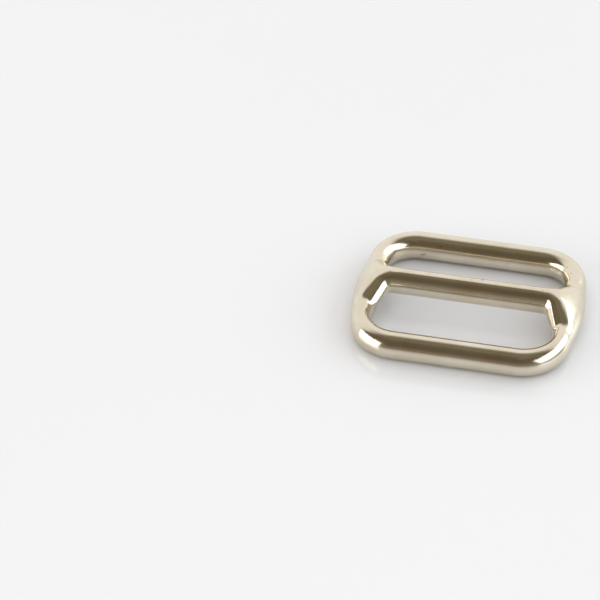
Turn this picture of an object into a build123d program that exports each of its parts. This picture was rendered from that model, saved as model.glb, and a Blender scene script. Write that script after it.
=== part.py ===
from build123d import *
import os
from math import cos, pi, radians, sin

# Metal strap slider (tri-glide) for 20 mm strap, cast in one alloy and nickel plated.
# A flat ring of oval rod carries a raised centre bar; a shoulder with four struts at each
# end of the bar climbs from the ring's side up to it.
# Row frame: +X along the centre bar, +Y towards the back rail, +Z up.
# The origin is on the surface that the slider lies on, at the middle of its outline.
# All sizes are in millimetres.

# Strap and ring
strap_width = 20.0
side_clearance = 1.85       # from the strap's edge to the ring's side
side_width = 2.85           # width of the ring's left and right sides, seen from above
rail_width = 3.55           # width of the ring's front and back rails, seen from above
ring_height = 3.7
ring_depth = 25.15          # outside size along Y
corner_radius = 5.1         # along the middle of the ring's rod
corner_waist = 3.15         # rod width halfway round a corner

# Centre bar
bar_width = 3.0
bar_height = 3.7
bar_middle = 3.9            # height of the bar's middle above the surface
bar_land = 1.0              # straight length of the bar that belongs to each shoulder

# Shoulders at the bar's ends
wall_clearance = 0.46       # from the strap's edge to a strut's wall, beside the bar
wall_slope = 0.407          # a wall's sideways travel for each step away from the bar
web_underside = 2.75
ramp_foot = 4.3             # the ramps meet the ring this far from the bar's middle
ramp_foot_height = 3.63     # measured at the outer band's inner edge
ramp_slope = 0.58           # drop for each step away from the bar
ramp_lean = 0.2             # rise for each step outwards
ramp_reach = 5.5            # the ramps run on inside the ring as far as this
flank_bulge = 0.6           # how far a flank stands out past the ring's side
flank_crown = 26.0          # radius of the flank's curve, seen from above
flank_start = 10.3          # the flat top starts to fall to the flank here, along X
flank_widest = 2.0          # height at which a flank stands out the most
flank_fullness = 1.6        # exponent of the flank's curve; 2 would be an ellipse
flank_tuck = 2.4            # height of the oval that carries the flank down to the ring
flank_points = 7
band_start = 13.0           # the flank runs down to the surface only outside this

window_half = strap_width / 2 + side_clearance
ring_width = 2 * (window_half + side_width)
mid_x = ring_width / 2 - side_width / 2
mid_y = ring_depth / 2 - rail_width / 2
bend_x = mid_x - corner_radius
bend_y = mid_y - corner_radius
split_x = strap_width / 2 - bar_land
bar_top = bar_middle + bar_height / 2
flank_x = ring_width / 2 + flank_bulge


def rod_section(width):
    """The rod's upright oval section, in the plane that its run crosses."""
    return Ellipse(width / 2, ring_height / 2)


def rail(y):
    """A straight rail between two corners, along X."""
    start = Plane(origin=(-bend_x, y, ring_height / 2), x_dir=(0, 1, 0), z_dir=(1, 0, 0))
    return extrude(start * rod_section(rail_width), amount=2 * bend_x)


def side(x):
    """A straight side between two corners, along Y."""
    start = Plane(origin=(x, -bend_y, ring_height / 2), x_dir=(-1, 0, 0), z_dir=(0, 1, 0))
    return extrude(start * rod_section(side_width), amount=2 * bend_y)


def corner():
    """The back right corner: the rod bends and narrows from the side to the rail."""
    middle = (bend_x, bend_y, ring_height / 2)
    path = Plane(origin=middle) * CenterArc((0, 0), corner_radius, 0, 90)
    sections = []
    for angle, width in ((0, side_width), (45, corner_waist), (90, rail_width)):
        out = Vector(cos(radians(angle)), sin(radians(angle)), 0)
        along = Vector(-out.Y, out.X, 0)
        plane = Plane(origin=Vector(middle) + out * corner_radius, x_dir=out, z_dir=along)
        sections.append(plane * rod_section(width))
    return sweep(sections, path=path, multisection=True)


def ring():
    """The closed ring: two rails, two sides and four corners."""
    back_right = corner()
    back_left = mirror(back_right, about=Plane.YZ)
    front_right = mirror(back_right, about=Plane.XZ)
    front_left = mirror(back_left, about=Plane.XZ)
    corners = back_right + back_left + front_right + front_left
    return corners + rail(mid_y) + rail(-mid_y) + side(mid_x) + side(-mid_x)


def bar_between(start_x, end_x):
    """The oval bar from one place to another along X."""
    start = Plane(origin=(start_x, 0, bar_middle), x_dir=(0, 1, 0), z_dir=(1, 0, 0))
    return extrude(start * Ellipse(bar_width / 2, bar_height / 2), amount=end_x - start_x)


def flank_point(step):
    """A point on the flank's falling curve, from the flat top to the widest place."""
    angle = pi / 2 * (1 - step / (flank_points - 1))
    out = abs(cos(angle)) ** (2 / flank_fullness)
    up = sin(angle) ** (2 / flank_fullness)
    x = flank_start + (flank_x - flank_start) * out
    return (x, flank_widest + (bar_top - flank_widest) * up)


def flank_body():
    """Everything under the flat top and inside the crowned flank, at the right end."""
    fall = Spline(
        [flank_point(step) for step in range(flank_points)],
        tangents=((1, 0), (0, -1)),
    )
    tuck = EllipticalCenterArc(
        (flank_start, flank_widest),
        flank_x - flank_start,
        flank_tuck,
        start_angle=-45,
        arc_size=45,
    )
    tuck_end = tuck @ 0
    inner_x = split_x - bar_land
    closing = Polyline(
        tuck_end,
        (inner_x, tuck_end.Y),
        (inner_x, bar_top),
        (flank_start, bar_top),
    )
    profile = Plane.XZ * make_face(fall + tuck + closing)
    axis = Axis((flank_x - flank_crown, 0, 0), (0, 0, 1))
    half = revolve(profile, axis=axis, revolution_arc=15)
    return half + mirror(half, about=Plane.XZ)


def roof():
    """The space under the two ramps, which drop away from the bar and rise outwards."""
    start_height = ramp_foot_height + ramp_lean * (split_x - band_start)
    ridge = start_height + ramp_slope * ramp_foot
    eave = ridge - ramp_slope * ramp_reach
    outline = Polygon(
        (-ramp_reach, -bar_top),
        (ramp_reach, -bar_top),
        (ramp_reach, eave),
        (0, ridge),
        (-ramp_reach, eave),
        align=None,
    )
    start = Plane(origin=(split_x, 0, 0), x_dir=(0, 1, 0), z_dir=(1, 0, 0))
    return extrude(start * outline, amount=ring_width / 2, dir=(1, 0, ramp_lean))


def web():
    """The struts' outline seen from above, from the web's underside up."""
    wall_x = strap_width / 2 + wall_clearance - wall_slope * bar_width / 2
    toe_x = wall_x + wall_slope * ramp_reach
    outer_x = ring_width / 2 + side_width
    outline = Polygon(
        (wall_x, 0),
        (toe_x, -ramp_reach),
        (outer_x, -ramp_reach),
        (outer_x, ramp_reach),
        (toe_x, ramp_reach),
        align=None,
    )
    return extrude(Plane.XY.offset(web_underside) * outline, amount=bar_top - web_underside)


def outer_band():
    """The space outside the ring's middle, down to the surface."""
    return Box(
        side_width * 2,
        ramp_reach * 2,
        bar_top,
        align=(Align.MIN, Align.CENTER, Align.MIN),
    ).move(Location((band_start, 0, 0)))


def shoulder():
    """The right shoulder with its front and back struts and the end of the bar."""
    raised = (web() + outer_band()) & roof()
    return (raised + bar_between(split_x, mid_x)) & flank_body()


def frame():
    """The ring with both shoulders, one solid around the two windows."""
    end = shoulder()
    return ring() + end + mirror(end, about=Plane.YZ)


def centre_bar():
    """The straight bar between the two shoulders."""
    return bar_between(-split_x, split_x)


os.makedirs("parts", exist_ok=True)
for name, shape in (("frame", frame()), ("centre_bar", centre_bar())):
    export_step(shape, f"parts/{name}.step")
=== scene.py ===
import math

import bmesh
import bpy
import numpy as np
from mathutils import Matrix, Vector


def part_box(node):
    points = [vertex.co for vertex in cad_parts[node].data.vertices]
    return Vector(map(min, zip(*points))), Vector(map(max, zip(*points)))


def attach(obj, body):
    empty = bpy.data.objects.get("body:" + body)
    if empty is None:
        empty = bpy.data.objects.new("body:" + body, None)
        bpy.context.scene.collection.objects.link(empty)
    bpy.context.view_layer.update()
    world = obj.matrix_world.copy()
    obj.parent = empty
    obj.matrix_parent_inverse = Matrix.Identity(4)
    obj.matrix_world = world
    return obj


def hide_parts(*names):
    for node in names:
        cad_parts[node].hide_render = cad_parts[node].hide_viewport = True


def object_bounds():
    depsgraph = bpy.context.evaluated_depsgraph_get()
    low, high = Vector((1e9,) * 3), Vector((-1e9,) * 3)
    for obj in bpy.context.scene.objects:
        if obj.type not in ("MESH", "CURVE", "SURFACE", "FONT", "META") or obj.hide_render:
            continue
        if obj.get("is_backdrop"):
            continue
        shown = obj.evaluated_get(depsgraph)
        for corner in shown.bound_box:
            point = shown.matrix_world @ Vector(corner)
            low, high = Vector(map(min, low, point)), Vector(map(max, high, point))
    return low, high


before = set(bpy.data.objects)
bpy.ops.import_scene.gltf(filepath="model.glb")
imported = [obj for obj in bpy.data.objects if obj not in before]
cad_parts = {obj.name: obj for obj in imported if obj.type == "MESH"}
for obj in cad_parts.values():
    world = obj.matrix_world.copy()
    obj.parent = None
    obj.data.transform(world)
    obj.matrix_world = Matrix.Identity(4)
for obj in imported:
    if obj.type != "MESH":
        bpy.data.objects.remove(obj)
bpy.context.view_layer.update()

MM = 0.001

# The viewpoint: a long lens that looks down at the slider, which lies right of the picture's middle
VIEW_AZIMUTH = math.radians(12.45)
VIEW_ELEVATION = math.radians(38.67)
VIEW_DISTANCE = 0.5504
VIEW_TARGET = Vector((-0.02237, -0.00201, 0.0))
LENS_MM = 248.5
SENSOR_MM = 36.0

# The ring's rod, as in the CAD model, in metres
SIDE_FACE = 14.7 * MM          # the rod's outer face on each side, from the middle
SIDE_WIDTH = 2.85 * MM
RAIL_WIDTH = 3.55 * MM
CORNER_WAIST = 3.15 * MM
CORNER_RADIUS = 5.1 * MM
ROD_HEIGHT = 3.7 * MM

# The shoulders that carry the bar, as in the CAD model but for their reach
WALL_START = 9.85 * MM         # where a shoulder's two struts would meet, on the bar's axis
WALL_SLOPE = 0.407
WEB_UNDERSIDE = 2.75 * MM
RAMP_FOOT = 4.3 * MM
RAMP_FOOT_HEIGHT = 3.63 * MM
RAMP_SLOPE = 0.58
RAMP_LEAN = 0.2
RAMP_REACH = 7.5 * MM          # far enough for a shoulder to end inside the ring's corner
FLANK_CROWN = 26.0 * MM        # radius of the flank's curve, seen from above
FLANK_START = 10.3 * MM        # the flat top starts to fall to the flank here
FLANK_WIDEST = 2.0 * MM        # height at which the flank stands out the most
FLANK_FULLNESS = 1.6           # exponent of the curve above the widest height; 2 is an ellipse
FLANK_TUCK = 2.4 * MM
TUCK_FULLNESS = 2.0            # and below it
FLANK_EASE = 0.05
BAND_START = 13.0 * MM         # the flank runs down to the table only outside this
BAND_LOW = 0.3 * MM

# Softness of the casting where its forms meet
CREASE_BLEND = 0.22 * MM
BAR_BLEND = 0.5 * MM
FLANK_BLEND = 0.8 * MM         # full on the ring, and next to none beside the bar
LEAST_BLEND = 0.05             # share of it that is left there
WALL_BLEND = 0.4 * MM
UNDERSIDE_BLEND = 0.3 * MM
TOP_BLEND = 0.1 * MM
BEVEL_LEG = 0.60 * MM          # the bevel along a strut's upper edge
BEVEL_BLEND = 0.2 * MM

# The mesh
CELL = 0.15 * MM
MARGIN = 3 * CELL              # empty space around the form
SEAM_REACH = 4 * CELL          # faces this near a seam are tried against its plane
RELAX_ROUNDS = 6
PROJECT_STEPS = 3
PROBE = 0.001 * MM             # the step over which the form's slope is measured
EPSILON = 1e-9                 # keeps divisions away from zero

# Nickel, as linear colours
NICKEL_DARK = (0.66, 0.585, 0.46)
NICKEL = (0.70, 0.63, 0.505)
NICKEL_PALE = (0.73, 0.67, 0.56)
SPECK = (0.40, 0.33, 0.24)
BLACK = (0.0, 0.0, 0.0)
WHITE = (1.0, 1.0, 1.0)
WAVE_DEPTH = 0.01 * MM
GRAIN_DEPTH = 0.0008 * MM
PIT_DEPTH = 0.01 * MM

# The table and the room
TABLE_DULL = (0.61, 0.61, 0.62)
TABLE = (0.62, 0.62, 0.63)
TABLE_HALF_SIZE = 1.5
LIGHT_DISTANCE = 2.5
WALL_TONE = (1.08, 1.07, 1.05)
ROOM_FOOT = (0.26, 0.22, 0.17)
ROOM_LOW = (0.25, 0.21, 0.16)
ROOM_MIDDLE = (0.18, 0.145, 0.10)
ROOM_DARKEST = (0.14, 0.11, 0.07)
ROOM_HIGH = (0.15, 0.12, 0.08)
ROOM_CEILING = (0.24, 0.21, 0.15)


def make_camera():
    """The camera, aimed from the viewing angle."""
    back = Vector((
        math.sin(VIEW_AZIMUTH) * math.cos(VIEW_ELEVATION),
        -math.cos(VIEW_AZIMUTH) * math.cos(VIEW_ELEVATION),
        math.sin(VIEW_ELEVATION),
    ))
    data = bpy.data.cameras.new("camera")
    data.sensor_width = SENSOR_MM
    data.lens = LENS_MM
    data.clip_start = 0.01
    data.clip_end = 50.0
    camera = bpy.data.objects.new("camera", data)
    camera.location = VIEW_TARGET + back * VIEW_DISTANCE
    camera.rotation_mode = "QUATERNION"
    camera.rotation_quaternion = (-back).to_track_quat("-Z", "Y")
    bpy.context.scene.collection.objects.link(camera)
    bpy.context.scene.camera = camera


# ---------------------------------------------------------------- the casting's form

class Casting:
    """The slider's form as a signed function of position: negative inside, zero on its surface."""

    def __init__(self):
        self.low, self.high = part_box("frame")
        bar_low, bar_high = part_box("centre_bar")
        self.seam = bar_high.x
        self.bar_top = bar_high.z
        self.bar_middle = (bar_low.z + bar_high.z) / 2
        self.bar_half_width = (bar_high.y - bar_low.y) / 2
        self.bar_half_height = (bar_high.z - bar_low.z) / 2
        self.bend_x = SIDE_FACE - SIDE_WIDTH / 2 - CORNER_RADIUS
        self.bend_y = self.high.y - RAIL_WIDTH / 2 - CORNER_RADIUS

    def rod(self, side, away, z):
        """The closed rod: an upright oval that follows a rounded rectangle."""
        past_x = side - self.bend_x
        past_y = away - self.bend_y
        corner_x = np.maximum(past_x, 0)
        corner_y = np.maximum(past_y, 0)
        inner = np.minimum(np.maximum(past_x, past_y), 0)
        across = np.hypot(corner_x, corner_y) + inner - CORNER_RADIUS
        turn = np.arctan2(corner_y, corner_x + EPSILON) / (math.pi / 2)
        share = turn * turn * (3 - 2 * turn)
        waist_cut = (SIDE_WIDTH + RAIL_WIDTH) / 2 - CORNER_WAIST
        width = SIDE_WIDTH + (RAIL_WIDTH - SIDE_WIDTH) * share - waist_cut * 4 * share * (1 - share)
        return oval(across, z - ROD_HEIGHT / 2, width / 2, ROD_HEIGHT / 2)

    def flank(self, side, away, z):
        """The flat top and the crowned outer side that falls from it, and tucks in below."""
        axis = self.high.x - FLANK_CROWN
        crowned = np.hypot(side - axis, away) + axis
        out = np.maximum(crowned - FLANK_START, 0) / (self.high.x - FLANK_START)
        out = (np.hypot(out, FLANK_EASE) - FLANK_EASE) / (math.hypot(1, FLANK_EASE) - FLANK_EASE)
        above = z > FLANK_WIDEST
        height = np.where(above, self.bar_top - FLANK_WIDEST, FLANK_TUCK)
        up = np.abs(z - FLANK_WIDEST) / height
        power = np.where(above, FLANK_FULLNESS, TUCK_FULLNESS)
        size = (out**power + up**power + EPSILON) ** (1 / power)
        slope_out = (out / size) ** (power - 1) / (self.high.x - FLANK_START)
        slope_up = (up / size) ** (power - 1) / height
        return (size - 1) / (np.hypot(slope_out, slope_up) + EPSILON)

    def shoulder(self, side, away, z):
        """The raised web with its ramps and struts, and the band that carries it down to the table."""
        ramp_height = RAMP_FOOT_HEIGHT + RAMP_SLOPE * (RAMP_FOOT - away)
        ramp_height += RAMP_LEAN * (side - BAND_START)
        ramp = (z - ramp_height) / math.hypot(1, RAMP_SLOPE, RAMP_LEAN)
        strut = (WALL_START + WALL_SLOPE * away - side) / math.hypot(1, WALL_SLOPE)
        wall = smooth_max(strut, away - RAMP_REACH, WALL_BLEND)
        body = bevelled_edge(wall, ramp)
        below = np.minimum(WEB_UNDERSIDE - z, np.maximum(BAND_START - side, BAND_LOW - z))
        return smooth_max(body, below, UNDERSIDE_BLEND)

    def __call__(self, points):
        side, away, z = np.abs(points[..., 0]), np.abs(points[..., 1]), points[..., 2]
        bar = oval(away, z - self.bar_middle, self.bar_half_width, self.bar_half_height)
        raised = smooth_min(bar, self.shoulder(side, away, z), BAR_BLEND)
        outwards = np.clip((side - self.seam) / (BAND_START - self.seam), LEAST_BLEND, 1)
        raised = smooth_max(raised, self.flank(side, away, z), FLANK_BLEND * outwards)
        whole = smooth_min(self.rod(side, away, z), raised, CREASE_BLEND)
        return smooth_max(whole, z - self.bar_top, TOP_BLEND)

    def normals(self, points):
        """The surface's outward directions, and the function's slope there."""
        slopes = []
        for axis in np.eye(3) * PROBE:
            slopes.append((self(points + axis) - self(points - axis)) / (2 * PROBE))
        slopes = np.stack(slopes, axis=-1)
        length = np.linalg.norm(slopes, axis=-1, keepdims=True) + EPSILON
        return slopes / length, length[..., 0]


def smooth_min(a, b, reach):
    """The smaller of two distances, rounded where they are within reach of each other."""
    share = np.clip(0.5 + 0.5 * (b - a) / reach, 0, 1)
    return b * (1 - share) + a * share - reach * share * (1 - share)


def smooth_max(a, b, reach):
    """The larger of two distances, rounded in the same way."""
    return -smooth_min(-a, -b, reach)


def bevelled_edge(a, b):
    """The larger of two distances, with a soft bevel where they cross."""
    bevel = (a + b + BEVEL_LEG) / math.sqrt(2)
    return smooth_max(smooth_max(a, b, BEVEL_BLEND), bevel, BEVEL_BLEND)


def oval(across, up, half_width, half_height):
    """Nearly the distance to an oval, exact in sign."""
    size = np.hypot(across / half_width, up / half_height)
    slope = np.hypot(across / half_width**2, up / half_height**2) + EPSILON
    return size * (size - 1) / slope


# ---------------------------------------------------------------- from form to mesh

def surface_of(form, low, high):
    """Points and four-sided faces of the form's surface, one point in each grid cell it crosses."""
    counts = np.ceil((high - low) / CELL).astype(int) + 1
    ticks = [low[i] + CELL * np.arange(counts[i]) for i in range(3)]
    grid = np.stack(np.meshgrid(*ticks, indexing="ij"), axis=-1)
    inside = form(grid) < 0
    full = np.zeros(counts - 1, int)
    for i in (0, 1):
        for j in (0, 1):
            for k in (0, 1):
                full += inside[i:counts[0] - 1 + i, j:counts[1] - 1 + j, k:counts[2] - 1 + k]
    crossed = (full > 0) & (full < 8)
    number = np.full(crossed.shape, -1)
    number[crossed] = np.arange(crossed.sum())
    points = grid[:-1, :-1, :-1][crossed] + CELL / 2
    faces = []
    for axis in range(3):
        u, v = (axis + 1) % 3, (axis + 2) % 3
        start = np.moveaxis(inside, axis, 0)[:-1]
        end = np.moveaxis(inside, axis, 0)[1:]
        starts = np.moveaxis(start, 0, axis)
        edges = np.argwhere(np.moveaxis(start != end, 0, axis))
        around = []
        for du, dv in ((0, 0), (-1, 0), (-1, -1), (0, -1)):
            cell = edges.copy()
            cell[:, u] += du
            cell[:, v] += dv
            around.append(number[tuple(cell.T)])
        quads = np.stack(around, axis=1)
        outwards = starts[tuple(edges.T)]
        quads[~outwards] = quads[~outwards][:, ::-1]
        faces.append(quads)
    return points, np.concatenate(faces)


def settle(form, points, faces):
    """Spreads the points evenly and puts each of them exactly on the surface."""
    pairs = np.concatenate([faces[:, [i, (i + 1) % 4]] for i in range(4)])
    links = np.bincount(pairs[:, 0], minlength=len(points))[:, None]
    for _ in range(RELAX_ROUNDS):
        sums = [np.bincount(pairs[:, 0], points[pairs[:, 1], i], len(points)) for i in range(3)]
        points = np.stack(sums, axis=1) / links
        for _ in range(PROJECT_STEPS):
            normals, slope = form.normals(points)
            points = points - normals * np.clip(form(points) / slope, -CELL, CELL)[:, None]
    return points


def build_mesh(name, form):
    """The form's whole surface as one mesh."""
    points, faces = surface_of(form, np.array(form.low) - MARGIN, np.array(form.high) + MARGIN)
    points = settle(form, points, faces)
    mesh = bpy.data.meshes.new(name)
    mesh.from_pydata(points.tolist(), [], faces.tolist())
    mesh.validate()
    return mesh


def close_to_seam(place, x, form):
    """Whether a place is on the bar and near the plane at x."""
    return abs(place.y) < form.bend_y and abs(place.x - x) < SEAM_REACH


def cut_off(mesh, name, form, keep_bar):
    """A closed copy of the mesh that holds only the straight bar, or all but the straight bar."""
    bm = bmesh.new()
    bm.from_mesh(mesh)
    for x in (-form.seam, form.seam):
        near = [f for f in bm.faces if close_to_seam(f.calc_center_median(), x, form)]
        edges = list({e for f in near for e in f.edges})
        corners = list({v for f in near for v in f.verts})
        bmesh.ops.bisect_plane(bm, geom=near + edges + corners, plane_co=(x, 0, 0), plane_no=(1, 0, 0))
    drop = []
    for f in bm.faces:
        centre = f.calc_center_median()
        is_bar = abs(centre.x) < form.seam and abs(centre.y) < form.bend_y
        if is_bar != keep_bar:
            drop.append(f)
    bmesh.ops.delete(bm, geom=drop, context="FACES")
    rims = [e for e in bm.edges if e.is_boundary]
    caps = bmesh.ops.holes_fill(bm, edges=rims)["faces"]
    bmesh.ops.recalc_face_normals(bm, faces=bm.faces)
    for f in bm.faces:
        f.smooth = True
    for f in caps:
        f.smooth = False
        for e in f.edges:
            e.smooth = False
    piece_mesh = bpy.data.meshes.new(name)
    bm.to_mesh(piece_mesh)
    bm.free()
    piece = bpy.data.objects.new(name, piece_mesh)
    bpy.context.scene.collection.objects.link(piece)
    return piece


def shade_exactly(piece, form):
    """Gives the curved faces the surface's own directions, so that reflections run without facets."""
    mesh = piece.data
    points = np.empty(len(mesh.vertices) * 3, np.float32)
    mesh.vertices.foreach_get("co", points)
    normals, _ = form.normals(points.reshape(-1, 3).astype(float))
    loops = np.empty((len(mesh.loops), 3))
    for polygon in mesh.polygons:
        for corner in polygon.loop_indices:
            vertex = mesh.loops[corner].vertex_index
            loops[corner] = normals[vertex] if polygon.use_smooth else polygon.normal
    mesh.normals_split_custom_set(loops.tolist())


# ---------------------------------------------------------------- materials

def new_material(name):
    material = bpy.data.materials.new(name)
    material.use_nodes = True
    tree = material.node_tree
    coordinates = tree.nodes.new("ShaderNodeTexCoord").outputs["Object"]
    return material, tree, tree.nodes["Principled BSDF"], coordinates


def feed(tree, socket, value):
    """Links an output to a socket, or puts a number or a colour on it."""
    if isinstance(value, bpy.types.NodeSocket):
        tree.links.new(value, socket)
    elif isinstance(value, tuple):
        socket.default_value = (*value, 1.0)
    else:
        socket.default_value = value


def noise(tree, coordinates, scale, detail, roughness=0.5):
    node = tree.nodes.new("ShaderNodeTexNoise")
    node.inputs["Scale"].default_value = scale
    node.inputs["Detail"].default_value = detail
    node.inputs["Roughness"].default_value = roughness
    tree.links.new(coordinates, node.inputs["Vector"])
    return node.outputs["Fac"]


def ramp(tree, value, stops):
    """Colours along 0..1, each stop a position and its colour."""
    node = tree.nodes.new("ShaderNodeValToRGB")
    elements = node.color_ramp.elements
    while len(elements) < len(stops):
        elements.new(1.0)
    for element, (position, colour) in zip(elements, stops):
        element.position = position
        element.color = (*colour, 1.0)
    tree.links.new(value, node.inputs["Fac"])
    return node.outputs["Color"]


def span(tree, value, low, high):
    """Maps 0..1 onto low..high."""
    node = tree.nodes.new("ShaderNodeMapRange")
    node.inputs["To Min"].default_value = low
    node.inputs["To Max"].default_value = high
    tree.links.new(value, node.inputs["Value"])
    return node.outputs["Result"]


def step(tree, value, start, end):
    """Rises smoothly from 0 at start to 1 at end."""
    node = tree.nodes.new("ShaderNodeMapRange")
    node.interpolation_type = "SMOOTHSTEP"
    node.inputs["From Min"].default_value = start
    node.inputs["From Max"].default_value = end
    tree.links.new(value, node.inputs["Value"])
    return node.outputs["Result"]


def arithmetic(tree, operation, a, b):
    node = tree.nodes.new("ShaderNodeMath")
    node.operation = operation
    feed(tree, node.inputs[0], a)
    feed(tree, node.inputs[1], b)
    return node.outputs["Value"]


def mix(tree, share, a, b):
    """Colour a where share is 0, colour b where it is 1."""
    node = tree.nodes.new("ShaderNodeMix")
    node.data_type = "RGBA"
    tree.links.new(share, node.inputs["Factor"])
    colour_a, colour_b = [i for i in node.inputs if i.enabled and i.type == "RGBA"]
    feed(tree, colour_a, a)
    feed(tree, colour_b, b)
    return [o for o in node.outputs if o.enabled][0]


def bump(tree, height, depth, below=None, sunk=False):
    """Relief of the given depth in metres, laid over the relief below it."""
    node = tree.nodes.new("ShaderNodeBump")
    node.invert = sunk
    node.inputs["Strength"].default_value = 1.0
    node.inputs["Distance"].default_value = depth
    tree.links.new(height, node.inputs["Height"])
    if below:
        tree.links.new(below, node.inputs["Normal"])
    return node.outputs["Normal"]


def nickel_plate():
    """Bright nickel with a warm cast, faintly wavy, with the odd speck and pit of a plated casting."""
    material, tree, shader, coordinates = new_material("nickel_plate")
    shader.inputs["Metallic"].default_value = 1.0
    patches = noise(tree, coordinates, scale=260, detail=4)
    tone = ramp(tree, patches, [(0.30, NICKEL_DARK), (0.50, NICKEL), (0.72, NICKEL_PALE)])
    specks = ramp(tree, noise(tree, coordinates, scale=1500, detail=2), [(0.72, BLACK), (0.77, WHITE)])
    tree.links.new(mix(tree, specks, tone, SPECK), shader.inputs["Base Color"])
    smears = noise(tree, coordinates, scale=900, detail=6, roughness=0.6)
    tree.links.new(span(tree, smears, 0.09, 0.25), shader.inputs["Roughness"])
    wave = bump(tree, noise(tree, coordinates, scale=420, detail=3), WAVE_DEPTH)
    fine = noise(tree, coordinates, scale=4200, detail=5, roughness=0.65)
    grain = bump(tree, fine, GRAIN_DEPTH, below=wave)
    pits = bump(tree, specks, PIT_DEPTH, below=grain, sunk=True)
    tree.links.new(pits, shader.inputs["Normal"])
    return material


def table_top():
    """A pale table with a low gloss."""
    material, tree, shader, coordinates = new_material("table_top")
    tone = ramp(tree, noise(tree, coordinates, scale=8, detail=3), [(0.3, TABLE_DULL), (0.7, TABLE)])
    tree.links.new(tone, shader.inputs["Base Color"])
    gloss = noise(tree, coordinates, scale=60, detail=4)
    tree.links.new(span(tree, gloss, 0.12, 0.2), shader.inputs["Roughness"])
    return material


# ---------------------------------------------------------------- stage and light

def make_floor(material):
    bm = bmesh.new()
    bmesh.ops.create_grid(bm, x_segments=8, y_segments=8, size=TABLE_HALF_SIZE)
    mesh = bpy.data.meshes.new("floor")
    bm.to_mesh(mesh)
    bm.free()
    floor = bpy.data.objects.new("floor", mesh)
    floor.location.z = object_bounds()[0].z
    floor.data.materials.append(material)
    bpy.context.scene.collection.objects.link(floor)
    floor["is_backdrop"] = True


def direction(azimuth, elevation):
    """A direction from the slider; azimuth 0 lies beyond it as the camera sees it, 90 to its right."""
    turn = math.radians(azimuth) - VIEW_AZIMUTH
    rise = math.radians(elevation)
    return Vector((math.sin(turn) * math.cos(rise), math.cos(turn) * math.cos(rise), math.sin(rise)))


def soft_box(name, azimuth, elevation, width, height, radiance, colour, mirrored=True):
    """A rectangular light that faces the slider; the metal shows it only where it is mirrored."""
    data = bpy.data.lights.new(name, "AREA")
    data.shape = "RECTANGLE"
    data.size = width
    data.size_y = height
    data.energy = radiance * math.pi * width * height
    data.color = colour
    light = bpy.data.objects.new(name, data)
    towards = direction(azimuth, elevation)
    light.location = towards * LIGHT_DISTANCE
    light.rotation_mode = "QUATERNION"
    light.rotation_quaternion = towards.to_track_quat("Z", "Y")
    light.visible_glossy = mirrored
    bpy.context.scene.collection.objects.link(light)


def make_lights():
    """Two windows at the sides, and two fills that only soften the shadows."""
    soft_box("left_window", azimuth=-107, elevation=15, width=2.32, height=1.35,
             radiance=3.8, colour=(1.0, 0.98, 0.95))
    soft_box("right_window", azimuth=98, elevation=28, width=4.75, height=1.92,
             radiance=2.1, colour=(0.84, 0.94, 1.0))
    soft_box("fill", azimuth=0, elevation=90, width=3.4, height=3.4,
             radiance=1.05, colour=(0.97, 0.96, 0.97), mirrored=False)
    soft_box("front_fill", azimuth=180, elevation=45, width=5.5, height=2.6,
             radiance=0.95, colour=(0.95, 0.97, 1.0), mirrored=False)


def make_world():
    """A studio with a pale wall beyond the slider and a warm, dim room on the camera's side."""
    world = bpy.data.worlds.new("studio")
    world.use_nodes = True
    bpy.context.scene.world = world
    tree = world.node_tree
    turned = tree.nodes.new("ShaderNodeMapping")
    turned.inputs["Rotation"].default_value = (0, 0, -VIEW_AZIMUTH)
    coordinates = tree.nodes.new("ShaderNodeTexCoord").outputs["Generated"]
    tree.links.new(coordinates, turned.inputs["Vector"])
    parts = tree.nodes.new("ShaderNodeSeparateXYZ")
    tree.links.new(turned.outputs["Vector"], parts.inputs["Vector"])
    height = parts.outputs["Z"]
    facing = step(tree, parts.outputs["Y"], start=0.06, end=0.32)
    under_top = arithmetic(tree, "SUBTRACT", 1.0, step(tree, height, start=0.78, end=0.98))
    wall = arithmetic(tree, "MULTIPLY", facing, under_top)
    clutter = span(tree, noise(tree, turned.outputs["Vector"], scale=5, detail=3), -0.25, 0.25)
    room = ramp(tree, arithmetic(tree, "ADD", height, clutter), [
        (0.00, ROOM_FOOT),
        (0.24, ROOM_LOW),
        (0.40, ROOM_MIDDLE),
        (0.55, ROOM_DARKEST),
        (0.85, ROOM_HIGH),
        (1.00, ROOM_CEILING),
    ])
    tree.links.new(mix(tree, wall, room, WALL_TONE), tree.nodes["Background"].inputs["Color"])


make_camera()
casting = Casting()
whole = build_mesh("casting", casting)
nickel = nickel_plate()
for piece_name, node, keep_bar in (("frame_casting", "frame", False), ("bar_casting", "centre_bar", True)):
    piece = cut_off(whole, piece_name, casting, keep_bar)
    shade_exactly(piece, casting)
    piece.data.materials.append(nickel)
    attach(piece, "root")
    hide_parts(node)
bpy.data.meshes.remove(whole)

make_floor(table_top())
make_world()
make_lights()
bpy.context.scene.view_settings.view_transform = "Standard"
